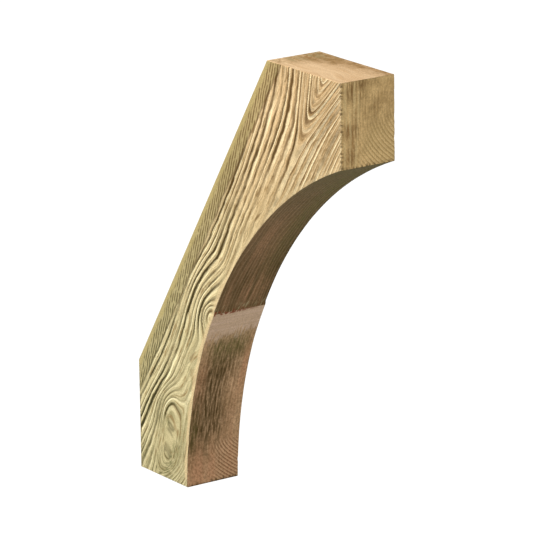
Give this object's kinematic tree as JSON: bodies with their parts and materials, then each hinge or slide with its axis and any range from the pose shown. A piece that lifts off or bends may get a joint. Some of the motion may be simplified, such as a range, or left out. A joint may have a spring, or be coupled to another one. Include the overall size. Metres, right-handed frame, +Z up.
{
  "type": "knee bracket",
  "caption": "Timber-look knee bracket cast in one piece, with a slanted back, an arched underside, a flat wall face and a flat soffit face.",
  "frame": {"origin": "centre of the upright face that goes against the wall", "axes": "+X out from the wall towards the nose, +Y across the width, +Z up"},
  "size_m": [0.864, 0.1524, 1.143],
  "materials": {
    "cast_foam": "rigid polyurethane foam cast with wood grain, stained dry cedar tan, matt"
  },
  "bodies": {
    "root": {"bracket": "cast_foam"}
  },
  "joints": []
}
